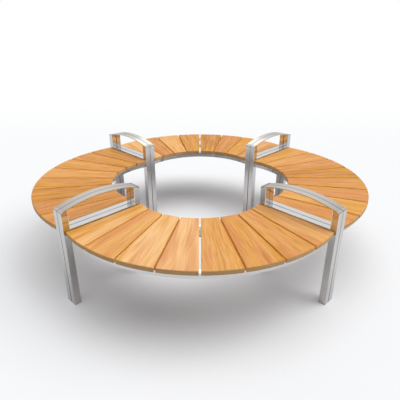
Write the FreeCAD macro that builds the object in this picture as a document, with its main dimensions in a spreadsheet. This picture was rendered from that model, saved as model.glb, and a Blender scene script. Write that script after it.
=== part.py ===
# Round bench for standing about a tree: four curved quarters, each with eight tapered
# hardwood slats on a welded stainless frame that ends in a square-tube hoop with an arched arm.
# Millimetres, +Z up. The origin is the middle of the ring on the floor, and the front is -Y.
import FreeCAD, Part
import math
import os
import Sketcher

doc = FreeCAD.newDocument("tree_bench")

# Driving dimensions
sizes = doc.addObject("Spreadsheet::Sheet", "sizes")
driving = {
    # seat, measured from the middle of the ring along a quarter's middle line
    "seat_height": 450,
    "seat_outer_reach": 1053,
    "seat_inner_reach": 573,
    "outer_edge_radius": 834,
    "inner_edge_radius": 404,
    # slats
    "slat_thickness": 25,
    "slat_gap": 10,
    "slat_pitch": 11,
    "fan_offset": 25,
    "slat_chamfer": 2.5,
    "slat_to_hoop": 3,
    # spacer in the middle gap
    "spacer_reach": 722,
    "spacer_length": 64,
    "spacer_height": 16,
    "spacer_below_top": 4,
    "spacer_play": 0.2,
    # hoops at the ends of each quarter
    "hoop_outer_reach": 991,
    "hoop_inner_reach": 519,
    "hoop_spacing": 0.8,
    "tube_width": 38,
    "tube_wall": 2,
    "tube_edge": 2,
    "arm_corner_height": 554,
    "arm_rise": 36,
    "arm_thickness": 6,
    "crossbar_above_seat": 5,
    # rails and bearers under the slats
    "rail_inset": 20,
    "rail_depth": 30,
    "rail_flange": 30,
    "rail_thickness": 4,
    "bearer_width": 40,
    "bearer_depth": 8,
    "weld_gap": 0.3,
    # plates and bolts that link neighbouring quarters
    "link_length": 60,
    "link_margin": 4,
    "link_thickness": 5,
    "link_bolt_diameter": 8,
    "link_bolt_length": 18,
    "link_head_across": 13,
    "link_head_height": 5.5,
    "bolt_clearance": 0.3,
    # feet
    "foot_flange": 3,
    "foot_plug_height": 15,
    "foot_clearance": 0.25,
}
for row, (alias, size) in enumerate(driving.items(), start=1):
    sizes.set("A" + str(row), alias.replace("_", " "))
    sizes.set("B" + str(row), str(size))
    sizes.setAlias("B" + str(row), alias)
doc.recompute()

slats_in_quarter = 8
bearer_gaps = {"right": -2, "left": 2}  # gaps with a bearer under them, counted from the middle one
quarters = {"right": 0, "back": 90, "left": 180, "front": 270}
corners = {"back_right": 45, "back_left": 135, "front_left": 225, "front_right": 315}
eighth_turn = 45
up = FreeCAD.Vector(0, 0, 1)

# Expressions that several pieces share
slat_underside = "sizes.seat_height - sizes.slat_thickness"
outer_centre = "sizes.seat_outer_reach - sizes.outer_edge_radius"
inner_centre = "sizes.seat_inner_reach - sizes.inner_edge_radius"
hoop_face = "(sizes.hoop_spacing / 2 + sizes.tube_width)"
crossbar_top = "sizes.seat_height + sizes.crossbar_above_seat"
crossbar_underside = "sizes.seat_height + sizes.crossbar_above_seat - sizes.tube_width"
outer_rail_face = "(sizes.outer_edge_radius - sizes.rail_inset)"
inner_rail_face = "(sizes.inner_edge_radius + sizes.rail_inset)"
tube_bore = "(sizes.tube_width - 2 * sizes.tube_wall)"
hoop_middle = "(sizes.hoop_outer_reach + sizes.hoop_inner_reach) / 2"
hoop_aside = "(sizes.hoop_spacing + sizes.tube_width) / 2"
link_underside = crossbar_underside + " - sizes.link_thickness"
link_hole_radius = "(sizes.link_bolt_diameter / 2 + sizes.bolt_clearance)"


def number(expression):
    """Value of an expression in the sheet's sizes."""
    return float(sizes.evalExpression(expression))


def new_body(label, turn=0):
    """Body of one piece, turned about the middle of the ring."""
    body = doc.addObject("PartDesign::Body", label)
    body.Label = label
    body.Placement = FreeCAD.Placement(FreeCAD.Vector(), FreeCAD.Rotation(up, turn))
    return body


def new_sketch(body, name, role="XY_Plane", offset=None):
    """Sketch on one of the body's origin planes, lifted along its normal by an expression."""
    sketch = body.newObject("Sketcher::SketchObject", name)
    plane = [item for item in body.Origin.OriginFeatures if item.Role == role][0]
    sketch.AttachmentSupport = [(plane, "")]
    sketch.MapMode = "FlatFace"
    if offset:
        lift = FreeCAD.Vector(0, 0, number(offset))
        sketch.AttachmentOffset = FreeCAD.Placement(lift, FreeCAD.Rotation())
        sketch.setExpression("AttachmentOffset.Base.z", offset)
    return sketch


def bind(sketch, name, kind, places, expression, angle=False):
    """Named constraint that takes its value from the sheet."""
    value = math.radians(number(expression)) if angle else number(expression)
    index = sketch.addConstraint(Sketcher.Constraint(kind, *places, value))
    sketch.renameConstraint(index, name)
    sketch.setExpression("Constraints." + name, "(" + expression + ") * 1 deg" if angle else expression)


def point_on_middle_line(sketch, name, expression):
    """Construction point on the quarter's middle line, at a distance from the middle of the ring."""
    place = FreeCAD.Vector(number(expression), 0, 0)
    point = sketch.addGeometry(Part.Point(place), True)
    sketch.addConstraint(Sketcher.Constraint("PointOnObject", point, 1, -1))
    bind(sketch, name, "DistanceX", (-1, 1, point, 1), expression)
    return point


def meeting_point(start, angle, centre, radius):
    """Where a line from start, at an angle in degrees, leaves a circle."""
    along = FreeCAD.Vector(math.cos(math.radians(angle)), math.sin(math.radians(angle)), 0)
    back = start - centre
    half = back.dot(along)
    return start + along * (math.sqrt(half * half - back.dot(back) + radius * radius) - half)


def curved_strip(sketch, inner, outer, low_side, high_side, inwards=1):
    """Outline between two arcs and two straight sides.

    inner and outer are expressions for an arc's centre and radius. A side is an expression for
    its angle, one for the point on the middle line that it is set off from, and one for how far.
    inwards is -1 when the sides are set off away from each other.
    """
    ends = []
    for side, sign in ((low_side, inwards), (high_side, -inwards)):
        angle, origin, setoff = (number(expression) for expression in side)
        across = FreeCAD.Vector(-math.sin(math.radians(angle)), math.cos(math.radians(angle)), 0)
        start = FreeCAD.Vector(origin, 0, 0) + across * sign * setoff
        ends.append([meeting_point(start, angle, FreeCAD.Vector(number(centre), 0, 0), number(radius))
                     for centre, radius in (inner, outer)])
    arcs = []
    for index, tag, (centre, radius) in ((0, "inner", inner), (1, "outer", outer)):
        middle = FreeCAD.Vector(number(centre), 0, 0)
        low, high = (end[index] - middle for end in ends)
        circle = Part.Circle(middle, up, number(radius))
        angles = [math.atan2(end.y, end.x) for end in (low, high)]
        arc = sketch.addGeometry(Part.ArcOfCircle(circle, *angles), False)
        arcs.append(arc)
        sketch.addConstraint(Sketcher.Constraint("PointOnObject", arc, 3, -1))
        bind(sketch, tag + "_centre", "DistanceX", (-1, 1, arc, 3), centre)
        bind(sketch, tag + "_radius", "Radius", (arc,), radius)
    for tag, side, end, arc_end in (("low", low_side, ends[0], 1), ("high", high_side, ends[1], 2)):
        angle, origin, setoff = side
        line = sketch.addGeometry(Part.LineSegment(end[0], end[1]), False)
        sketch.addConstraint(Sketcher.Constraint("Coincident", line, 1, arcs[0], arc_end))
        sketch.addConstraint(Sketcher.Constraint("Coincident", line, 2, arcs[1], arc_end))
        bind(sketch, tag + "_angle", "Angle", (line,), angle, angle=True)
        point = -1 if origin == "0" else point_on_middle_line(sketch, tag + "_origin", origin)
        bind(sketch, tag + "_setoff", "Distance", (point, 1, line), setoff)


def sketch_line(sketch, start, end):
    """Straight line in a sketch."""
    return sketch.addGeometry(Part.LineSegment(start, end), False)


def is_straight(edge, along):
    """Whether an edge is a straight line along a direction."""
    if not isinstance(edge.Curve, Part.Line):
        return False
    return abs(abs(edge.Curve.Direction.dot(along)) - 1) < 1e-6


def link_circle(sketch, radius, setoff=None, guide=False):
    """Circle halfway along a hoop, on the sketch's X axis or at a distance to the side of it."""
    centre = FreeCAD.Vector(number(hoop_middle), number(setoff) if setoff else 0, 0)
    circle = sketch.addGeometry(Part.Circle(centre, up, number(radius)), guide)
    bind(sketch, "link_reach", "DistanceX", (-1, 1, circle, 3), hoop_middle)
    bind(sketch, "link_radius", "Radius", (circle,), radius)
    if setoff:
        bind(sketch, "link_setoff", "DistanceY", (-1, 1, circle, 3), setoff)
    else:
        sketch.addConstraint(Sketcher.Constraint("PointOnObject", circle, 3, -1))
    return circle, centre


def link_hexagon(sketch, across_flats, setoff):
    """Six-sided outline of a bolt's head in the same place."""
    guide, centre = link_circle(sketch, across_flats + " / sqrt(3)", setoff, guide=True)
    spoke = FreeCAD.Vector(number(across_flats) / math.sqrt(3), 0, 0)
    corners = [centre + FreeCAD.Rotation(up, 60 * i).multVec(spoke) for i in range(6)]
    sides = [sketch_line(sketch, corners[i], corners[(i + 1) % 6]) for i in range(6)]
    for i in range(6):
        sketch.addConstraint(Sketcher.Constraint("Coincident", sides[i], 2, sides[(i + 1) % 6], 1))
        sketch.addConstraint(Sketcher.Constraint("PointOnObject", sides[i], 1, guide))
    for i in range(5):
        sketch.addConstraint(Sketcher.Constraint("Equal", sides[i], sides[i + 1]))
    sketch.addConstraint(Sketcher.Constraint("Horizontal", sides[1]))


def rectangle(sketch, tag, left, right, bottom, top):
    """Upright rectangle between four distances from the sketch's origin."""
    x0, x1, y0, y1 = (number(expression) for expression in (left, right, bottom, top))
    turns = [FreeCAD.Vector(x, y, 0) for x, y in ((x0, y0), (x1, y0), (x1, y1), (x0, y1))]
    sides = [sketch_line(sketch, turns[i], turns[(i + 1) % 4]) for i in range(4)]
    for i in range(4):
        sketch.addConstraint(Sketcher.Constraint("Coincident", sides[i], 2, sides[(i + 1) % 4], 1))
    for side in (sides[0], sides[2]):
        sketch.addConstraint(Sketcher.Constraint("Horizontal", side))
    for side in (sides[1], sides[3]):
        sketch.addConstraint(Sketcher.Constraint("Vertical", side))
    bind(sketch, tag + "_left", "DistanceX", (-1, 1, sides[0], 1), left)
    bind(sketch, tag + "_right", "DistanceX", (-1, 1, sides[0], 2), right)
    bind(sketch, tag + "_bottom", "DistanceY", (-1, 1, sides[0], 1), bottom)
    bind(sketch, tag + "_top", "DistanceY", (-1, 1, sides[1], 2), top)


def pad(body, sketch, length, both_ways=False):
    """Pad by a length from the sheet."""
    feature = body.newObject("PartDesign::Pad", sketch.Name + "_pad")
    feature.Profile = sketch
    feature.Length = number(length)
    feature.setExpression("Length", length)
    feature.Midplane = both_ways
    doc.recompute()
    return feature


def pocket_upwards(body, sketch, length):
    """Pocket above a sketch by a length from the sheet, which has to remove material."""
    before = body.Shape.Volume
    feature = body.newObject("PartDesign::Pocket", sketch.Name + "_pocket")
    feature.Profile = sketch
    feature.Length = number(length)
    feature.setExpression("Length", length)
    feature.Reversed = True
    doc.recompute()
    if not body.Shape.Volume < before - 1:
        raise RuntimeError(feature.Name + " cuts nothing")
    return feature


def chamfer(body, chosen, size):
    """Chamfer on the edges of the body's tip that pass a test."""
    tip = body.Tip
    names = ["Edge" + str(i) for i, edge in enumerate(tip.Shape.Edges, start=1) if chosen(edge)]
    feature = body.newObject("PartDesign::Chamfer", tip.Name + "_chamfer")
    feature.Base = (tip, names)
    feature.Size = number(size)
    feature.setExpression("Size", size)
    doc.recompute()


def repeat_round_ring(body, features):
    """The same features at all four corners of the ring."""
    pattern = body.newObject("PartDesign::PolarPattern", body.Name + "_pattern")
    pattern.Originals = features
    pattern.Axis = ([item for item in body.Origin.OriginFeatures if item.Role == "Z_Axis"][0], [""])
    pattern.Angle = 360
    pattern.Occurrences = len(quarters)
    body.Tip = pattern
    doc.recompute()


def make_slat(quarter, turn, place):
    """One tapered slat, its ends cut to the seat's two arcs. Places run from 0 to 7 round the quarter."""
    body = new_body(quarter + "_slat_" + str(place + 1), turn)
    outline = new_sketch(body, body.Name + "_outline", offset=slat_underside)
    half = slats_in_quarter // 2
    fan = [str(line - half) + " * sizes.slat_pitch" for line in (place, place + 1)]
    low_side = (fan[0], "sizes.fan_offset", "sizes.slat_gap / 2")
    high_side = (fan[1], "sizes.fan_offset", "sizes.slat_gap / 2")
    beside_hoop = hoop_face + " + sizes.slat_to_hoop"
    if place == 0:
        low_side = (str(-eighth_turn), "0", beside_hoop)
    if place == slats_in_quarter - 1:
        high_side = (str(eighth_turn), "0", beside_hoop)
    curved_strip(outline, (inner_centre, "sizes.inner_edge_radius"),
                 (outer_centre, "sizes.outer_edge_radius"), low_side, high_side)
    pad(body, outline, "sizes.slat_thickness")
    top = number("sizes.seat_height")
    chamfer(body, lambda edge: min(vertex.Z for vertex in edge.Vertexes) > top - 0.01, "sizes.slat_chamfer")


def make_hoop(quarter, turn, side):
    """Welded hoop: two square-tube legs, an arched arm of flat bar, and a tube level with the seat.

    Its own X axis runs outwards along the hoop. side is 1 beside the quarter's first slat and -1
    beside its last.
    """
    name = {1: "right", -1: "left"}[side]
    body = new_body(quarter + "_hoop_" + name, turn - eighth_turn * side)
    heading = str(turn - eighth_turn * side) + " deg"
    body.setExpression("Placement.Base.x", str(-side) + " * " + hoop_aside + " * sin(" + heading + ")")
    body.setExpression("Placement.Base.y", str(side) + " * " + hoop_aside + " * cos(" + heading + ")")

    outline = new_sketch(body, body.Name + "_outline", "XZ_Plane")
    inner, outer = "sizes.hoop_inner_reach", "sizes.hoop_outer_reach"
    span = "(sizes.hoop_outer_reach - sizes.hoop_inner_reach)"
    radius = "((" + span + " / 2)^2 + sizes.arm_rise^2) / (2 * sizes.arm_rise)"
    arm_centre = "sizes.arm_corner_height + sizes.arm_rise - " + radius
    centre = FreeCAD.Vector(number(hoop_middle), number(arm_centre), 0)
    tube, foot = number("sizes.tube_width"), number("sizes.foot_flange")
    left, right, corner = number(inner), number(outer), number("sizes.arm_corner_height")
    under_radius = number(radius) - number("sizes.arm_thickness")
    half_inside = number(span) / 2 - tube
    under = centre.y + math.sqrt(under_radius ** 2 - half_inside ** 2)
    bends = [(left, corner), (left, foot), (left + tube, foot), (left + tube, under),
             (right - tube, under), (right - tube, foot), (right, foot), (right, corner)]
    bends = [FreeCAD.Vector(x, y, 0) for x, y in bends]
    sides = [sketch_line(outline, bends[i], bends[i + 1]) for i in (0, 1, 2, 4, 5, 6)]
    for first, second in ((0, 1), (1, 2), (3, 4), (4, 5)):
        outline.addConstraint(Sketcher.Constraint("Coincident", sides[first], 2, sides[second], 1))
    for upright in (0, 2, 3, 5):
        outline.addConstraint(Sketcher.Constraint("Vertical", sides[upright]))
    for level in (1, 4):
        outline.addConstraint(Sketcher.Constraint("Horizontal", sides[level]))
    arm = []
    for arc_radius, start, end in (
            (number(radius), bends[7], bends[0]), (under_radius, bends[4], bends[3])):
        angles = [math.atan2(point.y - centre.y, point.x - centre.x) for point in (start, end)]
        circle = Part.Circle(centre, up, arc_radius)
        arm.append(outline.addGeometry(Part.ArcOfCircle(circle, *angles), False))
    for arc, end, line, line_end in ((0, 1, 5, 2), (0, 2, 0, 1), (1, 1, 3, 1), (1, 2, 2, 2)):
        outline.addConstraint(Sketcher.Constraint("Coincident", arm[arc], end, sides[line], line_end))
    outline.addConstraint(Sketcher.Constraint("Coincident", arm[0], 3, arm[1], 3))
    bind(outline, "inner_leg_face", "DistanceX", (-1, 1, sides[0], 1), inner)
    bind(outline, "outer_leg_face", "DistanceX", (-1, 1, sides[5], 2), outer)
    bind(outline, "inner_leg_width", "DistanceX", (sides[1], 1, sides[1], 2), "sizes.tube_width")
    bind(outline, "outer_leg_width", "DistanceX", (sides[4], 1, sides[4], 2), "sizes.tube_width")
    bind(outline, "inner_leg_end", "DistanceY", (-1, 1, sides[1], 1), "sizes.foot_flange")
    bind(outline, "outer_leg_end", "DistanceY", (-1, 1, sides[4], 1), "sizes.foot_flange")
    bind(outline, "corner_height", "DistanceY", (-1, 1, sides[0], 1), "sizes.arm_corner_height")
    bind(outline, "arm_middle", "DistanceX", (-1, 1, arm[0], 3), hoop_middle)
    bind(outline, "arm_radius", "Radius", (arm[0],), radius)
    bind(outline, "arm_under_radius", "Radius", (arm[1],), radius + " - sizes.arm_thickness")
    pad(body, outline, "sizes.tube_width", both_ways=True)

    tall = number("sizes.arm_corner_height") / 2
    chamfer(body, lambda edge: is_straight(edge, up) and edge.Length > tall, "sizes.tube_edge")

    bores = new_sketch(body, body.Name + "_leg_bores", offset="sizes.foot_flange")
    half = tube_bore + " / 2"
    rectangle(bores, "inner", inner + " + sizes.tube_wall", inner + " + sizes.tube_width - sizes.tube_wall",
              "-" + half, half)
    rectangle(bores, "outer", outer + " - sizes.tube_width + sizes.tube_wall", outer + " - sizes.tube_wall",
              "-" + half, half)
    bore_top = "sizes.arm_corner_height - sizes.arm_thickness - sizes.tube_wall"
    pocket_upwards(body, bores, bore_top + " - sizes.foot_flange")

    start = inner + " + sizes.tube_width - sizes.tube_wall"
    tube_end = new_sketch(body, body.Name + "_crossbar", "YZ_Plane", offset=start)
    rectangle(tube_end, "tube", "-sizes.tube_width / 2", "sizes.tube_width / 2",
              crossbar_underside, crossbar_top)
    rectangle(tube_end, "bore", "-" + half, half, crossbar_underside + " + sizes.tube_wall",
              crossbar_top + " - sizes.tube_wall")
    pad(body, tube_end, span + " - 2 * (sizes.tube_width - sizes.tube_wall)")
    between_legs = number(span) - 2 * tube
    bore_side = number(half)
    chamfer(body, lambda edge: is_straight(edge, FreeCAD.Vector(1, 0, 0))
            and edge.Length > between_legs - 1 and abs(edge.Vertexes[0].Y) > bore_side + 0.01,
            "sizes.tube_edge")

    if side == 1:
        hole = new_sketch(body, body.Name + "_link_hole", offset=crossbar_underside)
        link_circle(hole, link_hole_radius)
        pocket_upwards(body, hole, "sizes.tube_wall")


def make_rail(quarter, turn, name, centre, face, inwards):
    """Rail of angle section, bent to the seat's arc, with a level flange for the slats to lie on.

    inwards is 1 when the flange points to the middle of the ring and -1 when it points away.
    """
    body = new_body(quarter + "_" + name + "_rail", turn)
    sides = ((str(-eighth_turn), "0", hoop_face), (str(eighth_turn), "0", hoop_face))
    for part, reach, thickness, level in (
            ("web", "sizes.rail_thickness", "sizes.rail_depth", slat_underside + " - sizes.rail_depth"),
            ("flange", "sizes.rail_flange", "sizes.rail_thickness",
             slat_underside + " - sizes.rail_thickness")):
        sketch = new_sketch(body, body.Name + "_" + part, offset=level)
        far = face + (" - " if inwards == 1 else " + ") + reach
        inner, outer = (far, face) if inwards == 1 else (face, far)
        curved_strip(sketch, (centre, inner), (centre, outer), *sides)
        pad(body, sketch, thickness)


def make_bearers(quarter, turn):
    """Two flat bars from rail to rail under gaps between slats, with the rails' flanges on top."""
    body = new_body(quarter + "_bearers", turn)
    body.AllowCompound = True
    level = slat_underside + " - sizes.rail_thickness - sizes.bearer_depth"
    inner = (inner_centre, inner_rail_face + " + sizes.rail_thickness + sizes.weld_gap")
    outer = (outer_centre, outer_rail_face + " - sizes.rail_thickness - sizes.weld_gap")
    for side, gap in bearer_gaps.items():
        sketch = new_sketch(body, body.Name + "_" + side, offset=level)
        edge = (str(gap) + " * sizes.slat_pitch", "sizes.fan_offset", "sizes.bearer_width / 2")
        curved_strip(sketch, inner, outer, edge, edge, inwards=-1)
        pad(body, sketch, "sizes.bearer_depth")


def make_slat_spacers():
    """Spacer between the two middle slats of each quarter, which keeps the gap open."""
    body = new_body("slat_spacers")
    body.AllowCompound = True
    level = "sizes.seat_height - sizes.spacer_below_top - sizes.spacer_height"
    outline = new_sketch(body, "spacer_outline", offset=level)
    half = "(sizes.slat_gap / 2 - sizes.spacer_play)"
    rectangle(outline, "spacer", "sizes.spacer_reach - sizes.spacer_length / 2",
              "sizes.spacer_reach + sizes.spacer_length / 2", "-" + half, half)
    repeat_round_ring(body, [pad(body, outline, "sizes.spacer_height")])


def make_link_plates():
    """Plates that tie neighbouring hoops, welded under one crossbar and bolted under the other."""
    body = new_body("link_plates", eighth_turn)
    body.AllowCompound = True
    outline = new_sketch(body, "link_outline", offset=link_underside)
    half_width = "(sizes.hoop_spacing / 2 + sizes.tube_width - sizes.link_margin)"
    rectangle(outline, "plate", hoop_middle + " - sizes.link_length / 2",
              hoop_middle + " + sizes.link_length / 2", "-" + half_width, half_width)
    plate = pad(body, outline, "sizes.link_thickness")
    hole = new_sketch(body, "link_plate_hole", offset=link_underside)
    link_circle(hole, link_hole_radius, hoop_aside)
    drilled = pocket_upwards(body, hole, "sizes.link_thickness")
    repeat_round_ring(body, [plate, drilled])


def make_link_bolts():
    """Six-sided bolts that hold the plates up against the right hoop of each quarter."""
    body = new_body("link_bolts", eighth_turn)
    body.AllowCompound = True
    heads = new_sketch(body, "link_head", offset=link_underside + " - sizes.link_head_height")
    link_hexagon(heads, "sizes.link_head_across", hoop_aside)
    head = pad(body, heads, "sizes.link_head_height")
    shanks = new_sketch(body, "link_shank", offset=link_underside)
    link_circle(shanks, "sizes.link_bolt_diameter / 2", hoop_aside)
    shank = pad(body, shanks, "sizes.link_bolt_length")
    repeat_round_ring(body, [head, shank])


def make_feet(corner, turn):
    """Plastic plugs in the open ends of the four legs at one corner of the ring."""
    body = new_body(corner + "_feet", turn)
    body.AllowCompound = True
    for part, start, inset, height in (
            ("flange", None, "0", "sizes.foot_flange"),
            ("plug", "sizes.foot_flange", "(sizes.tube_wall + sizes.foot_clearance)",
             "sizes.foot_plug_height")):
        sketch = new_sketch(body, body.Name + "_" + part, offset=start)
        legs = {"inner": "sizes.hoop_inner_reach", "outer": "sizes.hoop_outer_reach - sizes.tube_width"}
        for leg, edge in legs.items():
            for side, sign in (("low", "-"), ("high", "")):
                near = sign + "(sizes.hoop_spacing / 2 + " + inset + ")"
                far = sign + "(sizes.hoop_spacing / 2 + sizes.tube_width - " + inset + ")"
                bottom, top = (far, near) if sign else (near, far)
                rectangle(sketch, leg + "_" + side, edge + " + " + inset,
                          edge + " + sizes.tube_width - " + inset, bottom, top)
        pad(body, sketch, height)


for quarter, turn in quarters.items():
    for place in range(slats_in_quarter):
        make_slat(quarter, turn, place)
    for side in (1, -1):
        make_hoop(quarter, turn, side)
    make_rail(quarter, turn, "outer", outer_centre, outer_rail_face, 1)
    make_rail(quarter, turn, "inner", inner_centre, inner_rail_face, -1)
    make_bearers(quarter, turn)
make_slat_spacers()
make_link_plates()
make_link_bolts()
for corner, turn in corners.items():
    make_feet(corner, turn)
doc.recompute()

# Every feature has to be sound before anything is written
for item in doc.Objects:
    if "Invalid" in item.State or "Error" in item.State:
        raise RuntimeError(item.Label + " has failed: " + ", ".join(item.State))
pieces = [item for item in doc.Objects if item.TypeId == "PartDesign::Body"]
for piece in pieces:
    if piece.Shape.isNull() or not piece.Shape.isValid():
        raise RuntimeError(piece.Label + " has no valid shape")
os.makedirs("parts", exist_ok=True)
for piece in pieces:
    piece.Shape.exportStep("parts/" + piece.Label + ".step")
print(len(pieces), "pieces written")
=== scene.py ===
# Looks of the round tree bench: oiled hardwood slats on polished stainless hoops, on a pale studio floor.
import bpy
import math
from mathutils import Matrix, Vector


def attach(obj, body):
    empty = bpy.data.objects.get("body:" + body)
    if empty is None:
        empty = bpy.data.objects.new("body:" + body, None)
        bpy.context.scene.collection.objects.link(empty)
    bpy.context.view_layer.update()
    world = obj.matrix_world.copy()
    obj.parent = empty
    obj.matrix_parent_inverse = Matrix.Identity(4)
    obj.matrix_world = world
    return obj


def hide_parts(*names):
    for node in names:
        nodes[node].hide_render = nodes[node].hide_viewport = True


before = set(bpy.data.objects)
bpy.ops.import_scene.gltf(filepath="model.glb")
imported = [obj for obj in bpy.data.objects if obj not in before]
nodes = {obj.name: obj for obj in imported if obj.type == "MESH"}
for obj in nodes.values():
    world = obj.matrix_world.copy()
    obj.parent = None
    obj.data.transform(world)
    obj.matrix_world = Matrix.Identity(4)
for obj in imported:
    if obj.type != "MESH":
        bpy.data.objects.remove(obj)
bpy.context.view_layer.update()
print("frame loaded:", len(nodes), "nodes")

quarters = 4                    # of the ring, all alike
quarterTurn = 2 * math.pi / quarters


def linear(hexCode):
    # an sRGB hex value as the linear colour that a shader takes
    channels = [int(hexCode[i:i + 2], 16) / 255 for i in (0, 2, 4)]
    return [c / 12.92 if c <= 0.04045 else ((c + 0.055) / 1.055) ** 2.4 for c in channels] + [1.0]


def newObject(name, data):
    made = bpy.data.objects.new(name, data)
    bpy.context.scene.collection.objects.link(made)
    return made


def addNode(tree, kind, inputs=None, **settings):
    # inputs take a value, another node's output socket, or a node for its first output
    node = tree.nodes.new(kind)
    for name, setting in settings.items():
        setattr(node, name, setting)
    for socket, source in (inputs or {}).items():
        if isinstance(source, bpy.types.Node):
            source = source.outputs[0]
        if isinstance(source, bpy.types.NodeSocket):
            tree.links.new(source, node.inputs[socket])
        else:
            node.inputs[socket].default_value = source
    return node


def newMaterial(name):
    material = bpy.data.materials.new(name)
    material.use_nodes = True
    tree = material.node_tree
    tree.nodes.clear()
    return material, tree


def setSurface(tree, finish):
    surface = addNode(tree, "ShaderNodeBsdfPrincipled", finish)
    addNode(tree, "ShaderNodeOutputMaterial", {"Surface": surface})


def setStops(ramp, stops):
    # a new ramp has two stops, and takes one more for each that is missing
    for i, (position, colour) in enumerate(stops):
        stop = ramp.elements[i] if i < 2 else ramp.elements.new(1.0)
        stop.position = position
        stop.color = colour


def newGeometryTree(name, sizes):
    # a tree with a geometry in and out, and a float input for each named size
    tree = bpy.data.node_groups.new(name, "GeometryNodeTree")
    tree.interface.new_socket("Geometry", in_out="INPUT", socket_type="NodeSocketGeometry")
    for size, start in sizes.items():
        socket = tree.interface.new_socket(size, in_out="INPUT", socket_type="NodeSocketFloat")
        socket.default_value = start
    tree.interface.new_socket("Geometry", in_out="OUTPUT", socket_type="NodeSocketGeometry")
    return tree, addNode(tree, "NodeGroupInput").outputs


def bakeTree(name, tree, sizes, geometry, material):
    # ends the tree, runs it on an empty mesh and keeps its result as a plain mesh object
    geometry = addNode(tree, "GeometryNodeRealizeInstances", {"Geometry": geometry})
    geometry = addNode(tree, "GeometryNodeSetMaterial", {"Geometry": geometry, "Material": material})
    addNode(tree, "NodeGroupOutput", {0: geometry})
    holder = newObject(name + "Holder", bpy.data.meshes.new(name + "Holder"))
    modifier = holder.modifiers.new(name, "NODES")
    modifier.node_group = tree
    for item in tree.interface.items_tree:
        if item.item_type == "SOCKET" and item.in_out == "INPUT" and item.name in sizes:
            modifier[item.identifier] = sizes[item.name]
    bpy.context.view_layer.update()
    depsgraph = bpy.context.evaluated_depsgraph_get()
    mesh = bpy.data.meshes.new_from_object(holder.evaluated_get(depsgraph), preserve_all_data_layers=True,
                                           depsgraph=depsgraph)
    mesh.name = name
    bpy.data.objects.remove(holder)
    return newObject(name, mesh)


def roundEdges(piece, width, segments, **limits):
    bevel = piece.modifiers.new("roundedEdges", "BEVEL")
    bevel.width = width
    bevel.segments = segments
    bevel.harden_normals = True
    for name, limit in limits.items():
        setattr(bevel, name, limit)
    for polygon in piece.data.polygons:
        polygon.use_smooth = True


def splitNumber(tree, number, count):
    # a slat's place in its quarter, and its quarter's turn about the ring's middle
    place = addNode(tree, "ShaderNodeMath", {0: number, 1: count}, operation="FLOORED_MODULO")
    quarter = addNode(tree, "ShaderNodeMath", {0: number, 1: count}, operation="DIVIDE")
    quarter = addNode(tree, "ShaderNodeMath", {0: quarter}, operation="FLOOR")
    turn = addNode(tree, "ShaderNodeMath", {0: quarter, 1: quarterTurn}, operation="MULTIPLY")
    return place, turn


def reachCircle(tree, start, heading, centre, radius, height, turn):
    # out from a start along a heading to a circle that has its middle on the x axis, then up, then turned
    centre = addNode(tree, "ShaderNodeCombineXYZ", {0: centre})
    direction = addNode(tree, "ShaderNodeVectorRotate", {"Vector": (1, 0, 0), "Angle": heading},
                        rotation_type="Z_AXIS")
    back = addNode(tree, "ShaderNodeVectorMath", {0: start, 1: centre}, operation="SUBTRACT")
    nearing = addNode(tree, "ShaderNodeVectorMath", {0: back, 1: direction}, operation="DOT_PRODUCT")
    nearing = nearing.outputs["Value"]
    square = addNode(tree, "ShaderNodeVectorMath", {0: back, 1: back}, operation="DOT_PRODUCT")
    square = addNode(tree, "ShaderNodeMath", {0: square.outputs["Value"], 1: -1.0}, operation="MULTIPLY")
    for length in (nearing, radius):
        square = addNode(tree, "ShaderNodeMath", {0: length, 1: length, 2: square}, operation="MULTIPLY_ADD")
    root = addNode(tree, "ShaderNodeMath", {0: square}, operation="SQRT")
    distance = addNode(tree, "ShaderNodeMath", {0: root, 1: nearing}, operation="SUBTRACT")
    out = addNode(tree, "ShaderNodeVectorMath", {0: direction, "Scale": distance}, operation="SCALE")
    spot = addNode(tree, "ShaderNodeVectorMath", {0: start, 1: out})
    lift = addNode(tree, "ShaderNodeCombineXYZ", {2: height})
    spot = addNode(tree, "ShaderNodeVectorMath", {0: spot, 1: lift})
    return addNode(tree, "ShaderNodeVectorRotate", {"Vector": spot, "Angle": turn}, rotation_type="Z_AXIS")


# Materials

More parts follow.
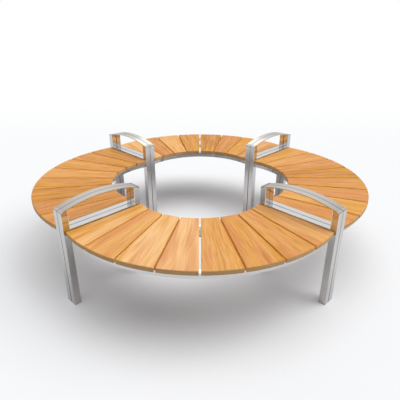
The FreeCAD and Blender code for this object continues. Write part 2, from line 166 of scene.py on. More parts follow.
hardwood = {
    "tones": ("CF8F4C", "E2A157", "EAAA5F", "F3B86E", "FFCC90"),   # from the darkest board to the palest
    "shift": (11.0, 7.0, 3.0),  # metres that the pattern moves between a seed of 0 and a seed of 1
    "seedTurns": (37.0, 43.0),  # how a board's seed gives the side on which its heart lies, and its hue
    "heartAside": 0.16,         # metres at most from a board's middle line to the heart of its tree
    "heartHeight": 0.36,        # and from the floor
    "ringSpacing": 0.013,       # metres between growth rings where a board cuts them at a slant
    "ringBend": 0.09,           # metres at most that they wander
    "ringPeak": 0.7,            # share of a ring's spacing at which its wood is darkest
    "ringDepth": 0.13,          # and how dark it is there
    "hueShare": 0.25,           # what a board's own hue adds to the warmth of its patches
    "strandBend": 0.07,         # metres at most that bands and fibres wander with the rings
    "bandShare": 0.55,          # what bands add to fibres
    "darkFibre": (0.79, 0.99),  # strand at which dark fibres start, and at which they are full
    "contrast": (0.8, 0.13),    # how dark they are then on the darkest board, and on the palest
    "noises": {                 # changes to a metre along, across and through a board, and octaves
        "bend": ((2.2, 9.0, 9.0), 2.0),
        "patch": ((2.4, 19.0, 19.0), 1.0),
        "band": ((2.4, 45.0, 45.0), 1.0),
        "fibre": ((8.0, 165.0, 165.0), 3.0),    # millimetres wide, because a real fibre is too thin to show
    },
    "tints": (                  # colour, its guide, where on that it starts and is full, and its share there
        ("E2955F", "warmth", 0.63, 0.83, 0.7),  # rose patches
        ("E5A03C", "warmth", 0.6, 0.4, 0.9),    # golden patches
        ("FFD9A3", "strand", 0.74, 0.56, 0.28),     # pale fibres
        ("B57436", "dark", 0.0, 1.0, 1.0),      # dark fibres, and the late wood of each ring
        ("FFC860", "across", 0.6, 0.85, 0.7),   # sides, which face each other across a gap: painted light, a golden tone that stands in for light falling into the gap
        ("FFCF92", "along", 0.6, 0.85, 0.8),    # ends, sawn across the grain: painted light, paler to stand in for light that their upright faces miss
    ),
    "bump": (0.25, 0.0005),     # strength, and metres
    "roughness": 0.6,
    "gloss": 0.2,               # oil leaves little gloss
}


def stretchNoise(tree, place, kind):
    # noise that is drawn out along a board
    stretch, octaves = hardwood["noises"][kind]
    place = addNode(tree, "ShaderNodeVectorMath", {0: place, 1: stretch}, operation="MULTIPLY")
    noise = addNode(tree, "ShaderNodeTexNoise", {"Vector": place, "Scale": 1.0, "Detail": octaves})
    return noise.outputs["Fac"]


def makeHardwood():
    # oiled hardwood, planed and sanded: a satin honey colour that changes from board to board, with soft
    # growth rings that run out along the board, streaks of fibres, and painted light: paler ends and golden
    # sides
    material, tree = newMaterial("oiledHardwood")
    texture = addNode(tree, "ShaderNodeTexCoord").outputs
    heading = addNode(tree, "ShaderNodeAttribute", attribute_name="slatHeading").outputs["Fac"]
    seed = addNode(tree, "ShaderNodeAttribute", attribute_name="slatSeed").outputs["Fac"]
    back = addNode(tree, "ShaderNodeMath", {0: heading, 1: -1.0}, operation="MULTIPLY")
    along = addNode(tree, "ShaderNodeVectorRotate", {"Vector": texture["Object"], "Angle": back},
                    rotation_type="Z_AXIS")
    shift = addNode(tree, "ShaderNodeVectorMath", {0: hardwood["shift"], "Scale": seed}, operation="SCALE")
    board = addNode(tree, "ShaderNodeVectorMath", {0: along, 1: shift})
    seeds = []
    for turns in hardwood["seedTurns"]:
        turned = addNode(tree, "ShaderNodeMath", {0: seed, 1: turns}, operation="MULTIPLY")
        seeds.append(addNode(tree, "ShaderNodeMath", {0: turned}, operation="FRACT"))
    heartSeed, hue = seeds

    # growth rings about a heart line that lies under and beside each board
    aside = hardwood["heartAside"]
    aside = addNode(tree, "ShaderNodeMapRange", {"Value": heartSeed, "To Min": -aside, "To Max": aside})
    heart = addNode(tree, "ShaderNodeCombineXYZ", {"Y": aside, "Z": -hardwood["heartHeight"]})
    offHeart = addNode(tree, "ShaderNodeVectorMath", {0: along, 1: heart})
    flat = addNode(tree, "ShaderNodeVectorMath", {0: offHeart, 1: (0, 1, 1)}, operation="MULTIPLY")
    radius = addNode(tree, "ShaderNodeVectorMath", {0: flat}, operation="LENGTH").outputs["Value"]
    bend = stretchNoise(tree, board, "bend")
    radius = addNode(tree, "ShaderNodeMath", {0: bend, 1: hardwood["ringBend"], 2: radius},
                     operation="MULTIPLY_ADD")
    ring = addNode(tree, "ShaderNodeMath", {0: radius, 1: hardwood["ringSpacing"]}, operation="DIVIDE")
    ring = addNode(tree, "ShaderNodeMath", {0: ring}, operation="FRACT")
    lateness = addNode(tree, "ShaderNodeValToRGB", {"Fac": ring})
    lateness.color_ramp.interpolation = "EASE"
    black, white = (0, 0, 0, 1), (1, 1, 1, 1)
    setStops(lateness.color_ramp, ((0.0, black), (hardwood["ringPeak"], white), (1.0, black)))

    # the board's own tone, and how rosy or golden it is along its length
    tone = addNode(tree, "ShaderNodeValToRGB", {"Fac": seed})
    tones = hardwood["tones"]
    setStops(tone.color_ramp, [(i / (len(tones) - 1), linear(code)) for i, code in enumerate(tones)])
    patch = stretchNoise(tree, board, "patch")
    warmth = addNode(tree, "ShaderNodeMath", {0: hue, 1: hardwood["hueShare"], 2: patch},
                     operation="MULTIPLY_ADD")

    # strands: bands and fibres, which wander with the rings
    wander = addNode(tree, "ShaderNodeMath", {0: bend, 1: hardwood["strandBend"]}, operation="MULTIPLY")
    wander = addNode(tree, "ShaderNodeCombineXYZ", {"Y": wander})
    wandered = addNode(tree, "ShaderNodeVectorMath", {0: board, 1: wander})
    band = stretchNoise(tree, wandered, "band")
    fibre = stretchNoise(tree, wandered, "fibre")
    strand = addNode(tree, "ShaderNodeMath", {0: band, 1: hardwood["bandShare"], 2: fibre},
                     operation="MULTIPLY_ADD")
    most, least = hardwood["contrast"]
    contrast = addNode(tree, "ShaderNodeMapRange", {"Value": seed, "To Min": most, "To Max": least})
    start, full = hardwood["darkFibre"]
    dark = addNode(tree, "ShaderNodeMapRange", {"Value": strand, "From Min": start, "From Max": full,
                                                "To Max": contrast})
    dark = addNode(tree, "ShaderNodeMath", {0: lateness.outputs["Color"], 1: hardwood["ringDepth"], 2: dark},
                   operation="MULTIPLY_ADD", use_clamp=True)

    # a face that looks along its own board is an end, and one that looks across it is a side
    facing = addNode(tree, "ShaderNodeVectorRotate", {"Vector": texture["Normal"], "Angle": back},
                     rotation_type="Z_AXIS")
    facing = addNode(tree, "ShaderNodeVectorMath", {0: facing}, operation="ABSOLUTE")
    facing = addNode(tree, "ShaderNodeSeparateXYZ", {0: facing}).outputs

    # the guides across and along pick out the sides and the ends, which the tints give painted light
    guides = {"warmth": warmth, "strand": strand, "dark": dark, "across": facing[1], "along": facing[0]}
    colour = tone.outputs["Color"]
    for code, guide, start, full, share in hardwood["tints"]:
        amount = addNode(tree, "ShaderNodeMapRange", {
            "Value": guides[guide], "From Min": start, "From Max": full, "To Max": share})
        colour = addNode(tree, "ShaderNodeMix", {"Factor": amount, "A": colour, "B": linear(code)},
                         data_type="RGBA").outputs["Result"]
    strength, distance = hardwood["bump"]
    bump = addNode(tree, "ShaderNodeBump", {"Strength": strength, "Distance": distance, "Height": strand})
    setSurface(tree, {"Base Color": colour, "Roughness": hardwood["roughness"],
                      "Specular IOR Level": hardwood["gloss"], "Normal": bump})
    return material


stainless = {
    "tube": ("CFCECE", 0.08),   # colour and roughness of tube that is mirror-polished
    "bar": ("C5C0B9", 0.16),    # and of the arms' flat bar, which hands have dulled
    "wave": (9.0, 1.0),         # waves to a metre that buffing leaves, and octaves
    "bump": (0.05, 0.01),       # strength, and metres
    "jointShade": ("98989E", 0.7),   # colour and roughness of painted shade: darker, duller steel in the joint between two hoops
    "jointShadeReach": (0.0036, 0.0022),     # difference of x and y where the painted shade starts, and where it is full
}


def paintJointShade(tree, place, colour, roughness):
    # inputs for steel with painted shade by the diagonals: darker and duller inside the joint between two
    # hoops
    square = addNode(tree, "ShaderNodeVectorMath", {0: place}, operation="ABSOLUTE")
    square = addNode(tree, "ShaderNodeSeparateXYZ", {0: square}).outputs
    apart = addNode(tree, "ShaderNodeMath", {0: square[0], 1: square[1]}, operation="SUBTRACT")
    apart = addNode(tree, "ShaderNodeMath", {0: apart}, operation="ABSOLUTE")
    start, full = stainless["jointShadeReach"]
    shadeAmount = addNode(tree, "ShaderNodeMapRange", {"Value": apart, "From Min": start, "From Max": full})
    jointShade, dullness = stainless["jointShade"]
    shade = addNode(tree, "ShaderNodeMix", {"Factor": shadeAmount, "A": linear(colour), "B": linear(jointShade)},
                    data_type="RGBA")
    bare = addNode(tree, "ShaderNodeMath", {0: 1.0, 1: shadeAmount}, operation="SUBTRACT")
    rough = addNode(tree, "ShaderNodeMapRange", {"Value": shadeAmount, "To Min": roughness, "To Max": dullness})
    return {"Base Color": shade.outputs["Result"], "Metallic": bare, "Roughness": rough}


def makeStainless(name, colour, roughness, paired):
    # polished stainless: a cool grey mirror with the faint waviness that buffing leaves
    material, tree = newMaterial(name)
    place = addNode(tree, "ShaderNodeTexCoord").outputs["Object"]
    scale, octaves = stainless["wave"]
    wave = addNode(tree, "ShaderNodeTexNoise", {"Vector": place, "Scale": scale, "Detail": octaves})
    strength, distance = stainless["bump"]
    bump = addNode(tree, "ShaderNodeBump", {
        "Strength": strength, "Distance": distance, "Height": wave.outputs["Fac"]})
    finish = {"Base Color": linear(colour), "Metallic": 1.0, "Roughness": roughness, "Normal": bump}
    # in a pair of hoops, painted shade darkens and dulls the steel in the joint between them
    if paired:
        finish.update(paintJointShade(tree, place, colour, roughness))
    setSurface(tree, finish)
    return material


bolt = {
    "colour": "B4B3B0",
    "grain": (700.0, 2.0),      # spots to a metre, and octaves
    "roughness": (0.28, 0.45),  # from the smoothest spot to the roughest
}


def makeBoltSteel():
    # plain stainless of bolts and screws, as forged and tumbled: a dull even grey
    material, tree = newMaterial("tumbledStainless")
    place = addNode(tree, "ShaderNodeTexCoord").outputs["Object"]
    scale, octaves = bolt["grain"]
    grain = addNode(tree, "ShaderNodeTexNoise", {"Vector": place, "Scale": scale, "Detail": octaves})
    least, most = bolt["roughness"]
    roughness = addNode(tree, "ShaderNodeMapRange", {
        "Value": grain.outputs["Fac"], "To Min": least, "To Max": most})
    setSurface(tree, {"Base Color": linear(bolt["colour"]), "Metallic": 1.0, "Roughness": roughness})
    return material


plastic = {
    "feet": "8C8C8C",           # colour of the plugs in the legs
    "spacers": "B3A392",        # and of the spacers between slats
    "grain": (900.0, 2.0),      # spots to a metre, and octaves
    "bump": (0.3, 0.0003),      # strength, and metres
    "roughness": 0.6,
    "ior": 1.51,
}


def makeMoulded(name, colour):
    # moulded plastic: matt, with a fine moulded grain
    material, tree = newMaterial(name)
    place = addNode(tree, "ShaderNodeTexCoord").outputs["Object"]
    scale, octaves = plastic["grain"]
    grain = addNode(tree, "ShaderNodeTexNoise", {"Vector": place, "Scale": scale, "Detail": octaves})
    strength, distance = plastic["bump"]
    bump = addNode(tree, "ShaderNodeBump", {
        "Strength": strength, "Distance": distance, "Height": grain.outputs["Fac"]})
    setSurface(tree, {"Base Color": linear(colour), "Roughness": plastic["roughness"], "IOR": plastic["ior"],
                      "Normal": bump})
    return material


wood = makeHardwood()
tubeSteel = makeStainless("polishedStainless", *stainless["tube"], paired=True)
barSteel = makeStainless("satinStainless", *stainless["bar"], paired=True)
railSteel = makeStainless("rolledStainless", *stainless["tube"], paired=False)
boltSteel = makeBoltSteel()
footPlastic = makeMoulded("mouldedPolyethylene", plastic["feet"])
spacerPlastic = makeMoulded("mouldedNylon", plastic["spacers"])
print("materials made")


# Slats

slats = {
    "fan": {                        # the tree's inputs
        "count": 8.0,               # in each quarter
        "pitch": math.radians(11),
        "fanOffset": 0.025,         # the fan's middle, out from the ring's middle
        "gap": 0.009,               # the frame's 10 mm lets floor show where the photograph has none
        "middleGap": 0.010,         # between the two halves of a quarter
        "besideHoop": 0.0414,       # from a diagonal to the side of the slat next to it
        "innerCentre": 0.169,       # middles and radii of the two arcs that end the slats
        "innerRadius": 0.404,
        "outerCentre": 0.219,
        "outerRadius": 0.834,
        "top": 0.450,
        "thickness": 0.025,
    },
    "endPoints": 9,                 # across each curved end
    "seed": 84,                     # of the boards' tones
    "rounding": 0.0035,
    "roundingSteps": 3,
    "sharp": math.radians(40),      # the least angle of an edge that is rounded
}


def growSlats():
    fan = slats["fan"]
    tree, sizes = newGeometryTree("slatFan", fan)

    # a unit block for each slat, which keeps its own corner places and its number
    block = addNode(tree, "GeometryNodeMeshCube", {
        "Size": (1, 1, 1), "Vertices X": 2, "Vertices Y": slats["endPoints"], "Vertices Z": 2})
    position = addNode(tree, "GeometryNodeInputPosition")
    block = addNode(tree, "GeometryNodeStoreNamedAttribute", {
        "Geometry": block, "Name": "unit", "Value": position}, data_type="FLOAT_VECTOR", domain="POINT")
    total = addNode(tree, "ShaderNodeMath", {0: sizes["count"], 1: quarters}, operation="MULTIPLY")
    points = addNode(tree, "GeometryNodeMeshLine", {"Count": total, "Offset": (0, 0, 0)})
    index = addNode(tree, "GeometryNodeInputIndex")
    chance = addNode(tree, "FunctionNodeRandomValue", {"Seed": slats["seed"]}, data_type="FLOAT").outputs[1]
    for name, values in (("number", index), ("slatSeed", chance)):
        points = addNode(tree, "GeometryNodeStoreNamedAttribute", {
            "Geometry": points, "Name": name, "Value": values}, data_type="FLOAT", domain="POINT")
    blocks = addNode(tree, "GeometryNodeInstanceOnPoints", {"Points": points, "Instance": block})
    blocks = addNode(tree, "GeometryNodeRealizeInstances", {"Geometry": blocks})

    # a corner's shares of the way out, across and down
    unit = addNode(tree, "GeometryNodeInputNamedAttribute", {"Name": "unit"}, data_type="FLOAT_VECTOR")
    unit = addNode(tree, "ShaderNodeVectorMath", {0: unit, 1: (0.5, 0.5, -0.5)})
    outward, across, down = addNode(tree, "ShaderNodeSeparateXYZ", {0: unit}).outputs
    number = addNode(tree, "GeometryNodeInputNamedAttribute", {"Name": "number"}, data_type="FLOAT")
    place, turn = splitNumber(tree, number, sizes["count"])

    # the two side lines: a start point and a heading for each
    half = addNode(tree, "ShaderNodeMath", {0: sizes["count"], 1: 2.0}, operation="DIVIDE")
    lowStep = addNode(tree, "ShaderNodeMath", {0: place, 1: half}, operation="SUBTRACT")
    highStep = addNode(tree, "ShaderNodeMath", {0: lowStep, 1: 1.0})
    fanPoint = addNode(tree, "ShaderNodeCombineXYZ", {0: sizes["fanOffset"]})
    starts, headings = [], []
    for step, hoopPlace, sign in ((lowStep, 0.0, 1.0), (highStep, fan["count"] - 1, -1.0)):
        atHoop = addNode(tree, "ShaderNodeMath", {0: place, 1: hoopPlace, 2: 0.5}, operation="COMPARE")
        heading = addNode(tree, "ShaderNodeMath", {0: step, 1: sizes["pitch"]}, operation="MULTIPLY")
        heading = addNode(tree, "ShaderNodeMix", {0: atHoop, 2: heading, 3: -sign * quarterTurn / 2})
        atMiddle = addNode(tree, "ShaderNodeMath", {0: step, 1: 0.0, 2: 0.5}, operation="COMPARE")
        gap = addNode(tree, "ShaderNodeMix", {0: atMiddle, 2: sizes["gap"], 3: sizes["middleGap"]})
        halfGap = addNode(tree, "ShaderNodeMath", {0: gap, 1: 2.0}, operation="DIVIDE")
        setIn = addNode(tree, "ShaderNodeMix", {0: atHoop, 2: halfGap, 3: sizes["besideHoop"]})
        setIn = addNode(tree, "ShaderNodeMath", {0: setIn, 1: sign}, operation="MULTIPLY")
        setIn = addNode(tree, "ShaderNodeCombineXYZ", {1: setIn})
        setIn = addNode(tree, "ShaderNodeVectorRotate", {"Vector": setIn, "Angle": heading},
                        rotation_type="Z_AXIS")
        origin = addNode(tree, "ShaderNodeMix", {0: atHoop, 4: fanPoint, 5: (0, 0, 0)}, data_type="VECTOR")
        starts.append(addNode(tree, "ShaderNodeVectorMath", {0: origin.outputs[1], 1: setIn}))
        headings.append(heading)
    start = addNode(tree, "ShaderNodeMix", {0: across, 4: starts[0], 5: starts[1]}, data_type="VECTOR")
    start = start.outputs[1]
    heading = addNode(tree, "ShaderNodeMix", {0: across, 2: headings[0], 3: headings[1]})

    # each corner goes out to its own circle, between the inner and the outer arc
    centre = addNode(tree, "ShaderNodeMix", {0: outward, 2: sizes["innerCentre"], 3: sizes["outerCentre"]})
    radius = addNode(tree, "ShaderNodeMix", {0: outward, 2: sizes["innerRadius"], 3: sizes["outerRadius"]})
    height = addNode(tree, "ShaderNodeMath", {0: down, 1: sizes["thickness"], 2: sizes["top"]},
                     operation="MULTIPLY_ADD")
    corner = reachCircle(tree, start, heading, centre, radius, height, turn)
    shaped = addNode(tree, "GeometryNodeSetPosition", {"Geometry": blocks, "Position": corner})

    # each slat's own heading, for the run of its grain
    middle = addNode(tree, "ShaderNodeMath", {0: lowStep, 1: 0.5})
    grain = addNode(tree, "ShaderNodeMath", {0: middle, 1: sizes["pitch"], 2: turn}, operation="MULTIPLY_ADD")
    fanned = addNode(tree, "GeometryNodeStoreNamedAttribute", {
        "Geometry": shaped, "Name": "slatHeading", "Value": grain}, data_type="FLOAT", domain="POINT")
    for name in ("unit", "number"):
        fanned = addNode(tree, "GeometryNodeRemoveAttribute", {"Geometry": fanned, "Name": name})
    piece = bakeTree("slats", tree, fan, fanned, wood)
    roundEdges(piece, slats["rounding"], slats["roundingSteps"], limit_method="ANGLE",
               angle_limit=slats["sharp"])
    return piece


slatPiece = growSlats()
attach(slatPiece, "root")
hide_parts(*sorted(name for name in nodes if "_slat_" in name))
print("slats grown:", len(slatPiece.data.polygons), "faces")


# Hoops

hoop = {
    "inner": 0.519,             # from the ring's middle to the outsides of the two legs
    "outer": 0.991,
    "tube": 0.0372,             # a little less than the frame's 38 mm, for the joint between two hoops
    "wall": 0.002,
    "tubeRounding": 0.0016,
    "boreRounding": 0.0008,
    "roundPoints": 5,           # round each corner of a tube's section
    "aside": 0.0201,            # from a diagonal to the middle of each of its two hoops: leaves a 3 mm joint
    "legFoot": 0.003,           # the flange of a plug is under it
    "corner": 0.554,            # height of the arm's ends
    "rise": 0.036,
    "barThickness": 0.006,
    "barRounding": 0.0009,
    "barRoundingSteps": 4,
    "barSteps": 24,
    "crossbarTop": 0.455,
}
half = hoop["tube"] / 2
halfSpan = (hoop["outer"] - hoop["inner"]) / 2
armRadius = (halfSpan ** 2 + hoop["rise"] ** 2) / (2 * hoop["rise"])
armCentre = hoop["corner"] + hoop["rise"] - armRadius


def armHeight(reach, depth):
    # height of the arm at a distance from the ring's middle, at a depth below its upper face
    across = reach - hoop["inner"] - halfSpan
    return armCentre + math.sqrt((armRadius - depth) ** 2 - across ** 2)


def roundedSquare(halfWidth, rounding):
    # points round a tube's section
    points = []
    middle = halfWidth - rounding
    for corner, (right, up) in enumerate(((1, 1), (-1, 1), (-1, -1), (1, -1))):
        x, y = right * middle, up * middle
        for step in range(hoop["roundPoints"]):
            angle = quarterTurn * (corner + step / (hoop["roundPoints"] - 1))
            points.append((x + rounding * math.cos(angle), y + rounding * math.sin(angle)))
    return points


def addTube(verts, faces, smooth, ends):
    # hollow tube between two ends, each of them a function that gives the place of a point of the section
    outside = roundedSquare(half, hoop["tubeRounding"])
    inside = roundedSquare(half - hoop["wall"], hoop["boreRounding"])
    count, start = len(outside), len(verts)
    for section in (outside, inside):
        for end in ends:
            verts.extend(end(*point) for point in section)
    for i in range(count):
        j = (i + 1) % count
        rounded = i % hoop["roundPoints"] < hoop["roundPoints"] - 1
        for first, second, isWall in ((0, 1, True), (3, 2, True), (2, 0, False), (1, 3, False)):
            low, high = start + first * count, start + second * count
            faces.append((low + i, low + j, high + j, high + i))
            smooth.append(isWall and rounded)


def addBar(verts, faces, eased, rows):
    # solid bar through rows of four corners each, with its long edges marked for rounding
    start, last = len(verts), len(verts) + 4 * (len(rows) - 1)
    for row in rows:
        verts.extend(row)
    for near in range(start, last, 4):
        for j in range(4):
            faces.append((near + j, near + (j + 1) % 4, near + (j + 1) % 4 + 4, near + j + 4))
            eased.add((near + j, near + j + 4))
    faces.append((start + 3, start + 2, start + 1, start))
    faces.append((last, last + 1, last + 2, last + 3))


def newPiece(name, verts, faces, smooth, material):
    mesh = bpy.data.meshes.new(name)
    mesh.from_pydata(verts, [], faces)
    mesh.polygons.foreach_set("use_smooth", smooth)
    mesh.materials.append(material)
    piece = newObject(name, mesh)
    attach(piece, "root")
    return piece


def makeHoops():
    tubeVerts, tubeFaces, tubeSmooth, barVerts, barFaces, barEdges = [], [], [], [], [], set()
    for corner in range(quarters):
        turn = quarterTurn / 2 + corner * quarterTurn
        cosine, sine = math.cos(turn), math.sin(turn)
        for side in (-1, 1):
            def place(reach, across, height):
                y = side * hoop["aside"] + across
                return (reach * cosine - y * sine, reach * sine + y * cosine, height)

            for middle in (hoop["inner"] + half, hoop["outer"] - half):
                addTube(tubeVerts, tubeFaces, tubeSmooth, (
                    lambda x, y: place(middle + x, y, hoop["legFoot"]),
                    lambda x, y: place(middle + x, y, armHeight(middle + x, hoop["barThickness"]))))
            level = hoop["crossbarTop"] - half
            addTube(tubeVerts, tubeFaces, tubeSmooth, (
                lambda y, z: place(hoop["inner"] + hoop["tube"], y, level + z),
                lambda y, z: place(hoop["outer"] - hoop["tube"], y, level + z)))
            rows = []
            for i in range(hoop["barSteps"] + 1):
                x = hoop["inner"] + 2 * halfSpan * i / hoop["barSteps"]
                under, over = armHeight(x, hoop["barThickness"]), armHeight(x, 0)
                rows.append([place(x, -half, under), place(x, half, under), place(x, half, over),
                             place(x, -half, over)])
            addBar(barVerts, barFaces, barEdges, rows)
    tubes = newPiece("hoopTubes", tubeVerts, tubeFaces, tubeSmooth, tubeSteel)
    bars = newPiece("armBars", barVerts, barFaces, [True] * len(barFaces), barSteel)
    weights = bars.data.attributes.new("bevel_weight_edge", "FLOAT", "EDGE")
    for edge in bars.data.edges:
        weights.data[edge.index].value = float(tuple(sorted(edge.vertices)) in barEdges)
    roundEdges(bars, hoop["barRounding"], hoop["barRoundingSteps"], limit_method="WEIGHT")
    return tubes, bars


tubePiece, barPiece = makeHoops()
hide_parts(*sorted(name for name in nodes if "_hoop_" in name))
print("hoops bent:", len(tubePiece.data.polygons) + len(barPiece.data.polygons), "faces")


# Screws under the slats

screws = {
    "lines": {                      # the tree's inputs
        "pitch": slats["fan"]["pitch"],
        "fanOffset": slats["fan"]["fanOffset"],
        "innerCentre": slats["fan"]["innerCentre"],
        "innerLine": 0.441,         # radii of the two lines of screws, through the rails' flanges
        "outerCentre": slats["fan"]["outerCentre"],
        "outerLine": 0.797,
        "flangeUnderside": 0.421,
    },
    "sides": 18,                    # of a head's round; three of them make one side of its socket
    "profile": [(4.5, 0.0), (4.5, 0.7), (4.1, 1.5), (3.3, 2.1), (2.4, 2.4)],    # millimetres: radius and drop
    "socket": (1.5, 1.2),           # half the key's width, and the drop to the socket's floor
    "twist": 6.0,                   # radians at most that a head is turned
    "seed": 3,
}


def turnHead():
    # button head of a screw, upside down, with a six-sided socket that ends in a fan round its middle
    verts, faces, sides = [], [], screws["sides"]
    key, floor = screws["socket"]
    rings = screws["profile"] + [(key, screws["profile"][-1][1]), (key, floor)]
    for ring, (radius, drop) in enumerate(rings):
        for i in range(sides):
            angle = 2 * math.pi * i / sides
            reach = radius
            if ring >= len(screws["profile"]):
                reach = radius / math.cos((angle % (math.pi / 3)) - math.pi / 6)
            verts.append((reach * math.cos(angle) / 1000, reach * math.sin(angle) / 1000, -drop / 1000))
    last = len(verts) - sides
    for near in range(0, last, sides):
        for i in range(sides):
            j = (i + 1) % sides
            faces.append((near + i, near + sides + i, near + sides + j, near + j))
    faces.append(tuple(range(sides)))
    verts.append((0.0, 0.0, -floor / 1000))
    for i in range(sides):
        faces.append((last + (i + 1) % sides, last + i, last + sides))
    mesh = bpy.data.meshes.new("screwHead")
    mesh.from_pydata(verts, [], faces)
    return newObject("screwHead", mesh)


def driveScrews():
    # two screws for each slat, from under the inner and the outer rail
    tree, sizes = newGeometryTree("screwLines", screws["lines"])
    head = turnHead()
    count = slats["fan"]["count"]
    lineCount = int(count) * quarters
    line = addNode(tree, "GeometryNodeMeshLine", {"Count": 2 * lineCount, "Offset": (0, 0, 0)})
    index = addNode(tree, "GeometryNodeInputIndex")
    place, turn = splitNumber(tree, index, count)
    outer = addNode(tree, "ShaderNodeMath", {0: index, 1: lineCount - 0.5}, operation="GREATER_THAN")
    centre = addNode(tree, "ShaderNodeMix", {0: outer, 2: sizes["innerCentre"], 3: sizes["outerCentre"]})
    radius = addNode(tree, "ShaderNodeMix", {0: outer, 2: sizes["innerLine"], 3: sizes["outerLine"]})
    step = addNode(tree, "ShaderNodeMath", {0: place, 1: (count - 1) / 2}, operation="SUBTRACT")
    heading = addNode(tree, "ShaderNodeMath", {0: step, 1: sizes["pitch"]}, operation="MULTIPLY")
    start = addNode(tree, "ShaderNodeCombineXYZ", {0: sizes["fanOffset"]})
    spot = reachCircle(tree, start, heading, centre, radius, sizes["flangeUnderside"], turn)
    spots = addNode(tree, "GeometryNodeSetPosition", {"Geometry": line, "Position": spot})
    shape = addNode(tree, "GeometryNodeObjectInfo", {"Object": head}).outputs["Geometry"]
    twist = addNode(tree, "FunctionNodeRandomValue", {
        "Min": (0, 0, 0), "Max": (0, 0, screws["twist"]), "Seed": screws["seed"]}, data_type="FLOAT_VECTOR")
    heads = addNode(tree, "GeometryNodeInstanceOnPoints", {
        "Points": spots, "Instance": shape, "Rotation": twist})
    piece = bakeTree("slatScrews", tree, screws["lines"], heads, boltSteel)
    bpy.data.objects.remove(head)
    return piece


screwPiece = driveScrews()
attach(screwPiece, "root")
print("screws driven:", len(screwPiece.data.polygons), "faces")


# Spacers in the middle gaps: the photograph shows no front face, so these are thinner than the frame's

spacers = {
    "block": {                  # the tree's inputs
        "reach": 0.722,         # from the ring's middle
        "length": 0.064,
        "width": 0.0096,
        "height": 0.006,
        "top": 0.446,
    },
    "rounding": 0.001,
    "roundingSteps": 3,
}


def fitSpacers():
    tree, sizes = newGeometryTree("spacerRing", spacers["block"])
    size = addNode(tree, "ShaderNodeCombineXYZ", {0: sizes["length"], 1: sizes["width"], 2: sizes["height"]})
    block = addNode(tree, "GeometryNodeMeshCube", {"Size": size})
    middle = addNode(tree, "ShaderNodeMath", {0: sizes["height"], 1: -0.5, 2: sizes["top"]},
                     operation="MULTIPLY_ADD")
    spot = addNode(tree, "ShaderNodeCombineXYZ", {0: sizes["reach"], 2: middle})
    placed = addNode(tree, "GeometryNodeTransform", {"Geometry": block, "Translation": spot})
    line = addNode(tree, "GeometryNodeMeshLine", {"Count": quarters, "Offset": (0, 0, 0)})
    index = addNode(tree, "GeometryNodeInputIndex")
    turn = addNode(tree, "ShaderNodeMath", {0: index, 1: quarterTurn}, operation="MULTIPLY")
    turn = addNode(tree, "ShaderNodeCombineXYZ", {2: turn})
    ring = addNode(tree, "GeometryNodeInstanceOnPoints", {
        "Points": line, "Instance": placed, "Rotation": turn})
    piece = bakeTree("gapSpacers", tree, spacers["block"], ring, spacerPlastic)
    roundEdges(piece, spacers["rounding"], spacers["roundingSteps"])
    return piece


spacerPiece = fitSpacers()
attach(spacerPiece, "root")
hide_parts("slat_spacers")
print("spacers fitted:", len(spacerPiece.data.polygons), "faces")


# Rails, bearers, link plates, bolts and feet keep the frame's own meshes

finishes = {
    "rail": railSteel,
    "bearers": railSteel,
    "plates": railSteel,
    "bolts": boltSteel,
    "feet": footPlastic,
}
for name, piece in nodes.items():
    for word, finish in finishes.items():
        if word in name.split("_"):
            for slot in piece.material_slots:
                slot.material = finish
print("steel, bolts and feet dressed")


# Floor, light and camera

studio = {
    "floor": "EBEBEB",
    "glowColour": "E8F2FF",     # a cool white
    "floorGlow": 0.148,         # light from within the floor, as on a light table, that shadows don't dim
    "mirroredGlow": 0.45,       # and the part of it that polished steel shows
    "floorBounce": "8C8C8C",    # how bright the floor is to light that bounces off it
    "floorReach": 40.0,
    "fadeBehind": (1.2, 5.0),   # the floor fades to the backdrop's white between these distances behind
    "fadeAround": (4.5, 9.0),   # and between these all round
    "sky": 0.27,                # diffuse light from all round
    "skyBehind": 0.20,          # and more of it from behind
    "panelWay": (0.75, 0.66),   # outward and upward share of the way to each of four soft panels
    "panelEdge": (0.95, 0.99),  # nearness to that way at which a panel starts, and at which it is full
    "panel": 0.8,               # what the panel adds to the backdrop that polished steel shows
    "hazeEdge": (0.78, 0.95),   # nearness at which the haze about a panel starts, and at which it is full
    "haze": (0.7, 1.05),        # how bright steel shows the backdrop far from a panel, and right beside it
    "lamps": {                  # direction, spread in degrees and strength of each large soft lamp
        "topLamp": ((0.0, 0.0, 1.0), 56.0, 1.35),
        "keyLamp": ((0.643, 0.0, 0.766), 46.0, 1.23),
    },
}


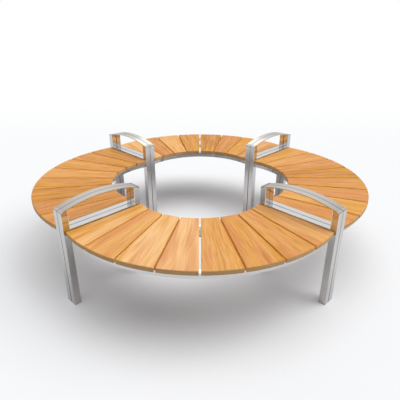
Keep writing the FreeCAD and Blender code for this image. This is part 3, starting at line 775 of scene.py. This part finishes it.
def layFloor():
    reach = studio["floorReach"]
    corners = [(-reach, -reach, 0), (reach, -reach, 0), (reach, reach, 0), (-reach, reach, 0)]
    mesh = bpy.data.meshes.new("floor")
    mesh.from_pydata(corners, [], [(0, 1, 2, 3)])
    floor = newObject("floor", mesh)
    material, tree = newMaterial("studioFloor")
    place = addNode(tree, "ShaderNodeTexCoord").outputs["Object"]
    behind = addNode(tree, "ShaderNodeSeparateXYZ", {0: place}).outputs[1]
    around = addNode(tree, "ShaderNodeVectorMath", {0: place}, operation="LENGTH").outputs["Value"]
    fades = []
    for distance, (start, full) in ((behind, studio["fadeBehind"]), (around, studio["fadeAround"])):
        fade = addNode(tree, "ShaderNodeMapRange", {"Value": distance, "From Min": start, "From Max": full},
                       interpolation_type="SMOOTHSTEP")
        fades.append(fade)
    fade = addNode(tree, "ShaderNodeMath", {0: fades[0], 1: fades[1]}, operation="MAXIMUM")
    ray = addNode(tree, "ShaderNodeLightPath").outputs
    shade = addNode(tree, "ShaderNodeMix", {
        "Factor": ray["Is Diffuse Ray"], "A": linear(studio["floor"]), "B": linear(studio["floorBounce"])},
        data_type="RGBA")
    matt = addNode(tree, "ShaderNodeBsdfDiffuse", {"Color": shade.outputs["Result"]})
    glow = addNode(tree, "ShaderNodeMath", {
        0: ray["Is Glossy Ray"], 1: studio["mirroredGlow"], 2: ray["Is Camera Ray"]},
        operation="MULTIPLY_ADD")
    glow = addNode(tree, "ShaderNodeMath", {0: glow, 1: studio["floorGlow"]}, operation="MULTIPLY")
    glow = addNode(tree, "ShaderNodeEmission", {"Color": linear(studio["glowColour"]), "Strength": glow})
    lit = addNode(tree, "ShaderNodeAddShader", {0: matt, 1: glow})
    white = addNode(tree, "ShaderNodeEmission", {"Color": (1, 1, 1, 1), "Strength": 1.0})
    mixed = addNode(tree, "ShaderNodeMixShader", {0: fade, 1: lit, 2: white})
    addNode(tree, "ShaderNodeOutputMaterial", {"Surface": mixed})
    mesh.materials.append(material)


def lightStudio():
    world = bpy.data.worlds.new("studioLight")
    bpy.context.scene.world = world
    world.use_nodes = True
    tree = world.node_tree
    tree.nodes.clear()
    direction = addNode(tree, "ShaderNodeTexCoord").outputs["Generated"]
    behind, upward = addNode(tree, "ShaderNodeSeparateXYZ", {0: direction}).outputs[1:]

    # what steel mirrors: four soft panels round the bench, each with a haze of light about it
    out, rise = studio["panelWay"]
    aside = addNode(tree, "ShaderNodeVectorMath", {0: direction}, operation="ABSOLUTE")
    aside = addNode(tree, "ShaderNodeSeparateXYZ", {0: aside}).outputs
    outward = addNode(tree, "ShaderNodeMath", {0: aside[0], 1: aside[1]}, operation="MAXIMUM")
    outward = addNode(tree, "ShaderNodeMath", {0: outward, 1: out}, operation="MULTIPLY")
    nearness = addNode(tree, "ShaderNodeMath", {0: upward, 1: rise, 2: outward}, operation="MULTIPLY_ADD")
    layers = []
    for (start, full), (low, high) in ((studio["hazeEdge"], studio["haze"]),
                                       (studio["panelEdge"], (0.0, studio["panel"]))):
        layer = addNode(tree, "ShaderNodeMapRange", {
            "Value": nearness, "From Min": start, "From Max": full, "To Min": low, "To Max": high},
            interpolation_type="SMOOTHSTEP")
        layers.append(layer)
    mirrored = addNode(tree, "ShaderNodeMath", {0: layers[0], 1: layers[1]})
    strength = addNode(tree, "ShaderNodeMath", {0: behind, 1: studio["skyBehind"], 2: studio["sky"]},
                       operation="MULTIPLY_ADD")
    ray = addNode(tree, "ShaderNodeLightPath").outputs
    direct = addNode(tree, "ShaderNodeMath", {0: ray["Is Camera Ray"], 1: ray["Is Glossy Ray"]})
    direct = addNode(tree, "ShaderNodeMath", {0: direct, 1: ray["Is Transmission Ray"]}, use_clamp=True)
    soft = addNode(tree, "ShaderNodeBackground", {"Color": (1, 1, 1, 1), "Strength": strength})
    mirrored = addNode(tree, "ShaderNodeMix", {0: ray["Is Glossy Ray"], 2: 1.0, 3: mirrored})
    white = addNode(tree, "ShaderNodeBackground", {"Color": (1, 1, 1, 1), "Strength": mirrored})
    mixed = addNode(tree, "ShaderNodeMixShader", {0: direct, 1: soft, 2: white})
    addNode(tree, "ShaderNodeOutputWorld", {"Surface": mixed})
    for name, (source, spread, strength) in studio["lamps"].items():
        lamp = bpy.data.lights.new(name, "SUN")
        lamp.angle = math.radians(spread)
        lamp.energy = strength
        holder = newObject(name, lamp)
        holder.visible_glossy = False       # steel mirrors the backdrop and its panels, and no lamp
        holder.rotation_euler = Vector(source).to_track_quat("Z", "Y").to_euler()


camera = {"lens": 35.69, "sensor": 36.0, "place": (0.0, -2.4313, 1.4205), "tilt": 65.02}


def setCamera():
    # the lens and place that fit the photograph's square frame of 400 by 400
    data = bpy.data.cameras.new("camera")
    data.sensor_width = camera["sensor"]
    data.sensor_fit = "HORIZONTAL"
    data.lens = camera["lens"]
    eye = newObject("camera", data)
    eye.location = camera["place"]
    eye.rotation_euler = (math.radians(camera["tilt"]), 0, 0)
    bpy.context.scene.camera = eye


layFloor()
lightStudio()
setCamera()
bpy.context.scene.view_settings.view_transform = "Standard"
print("studio set")
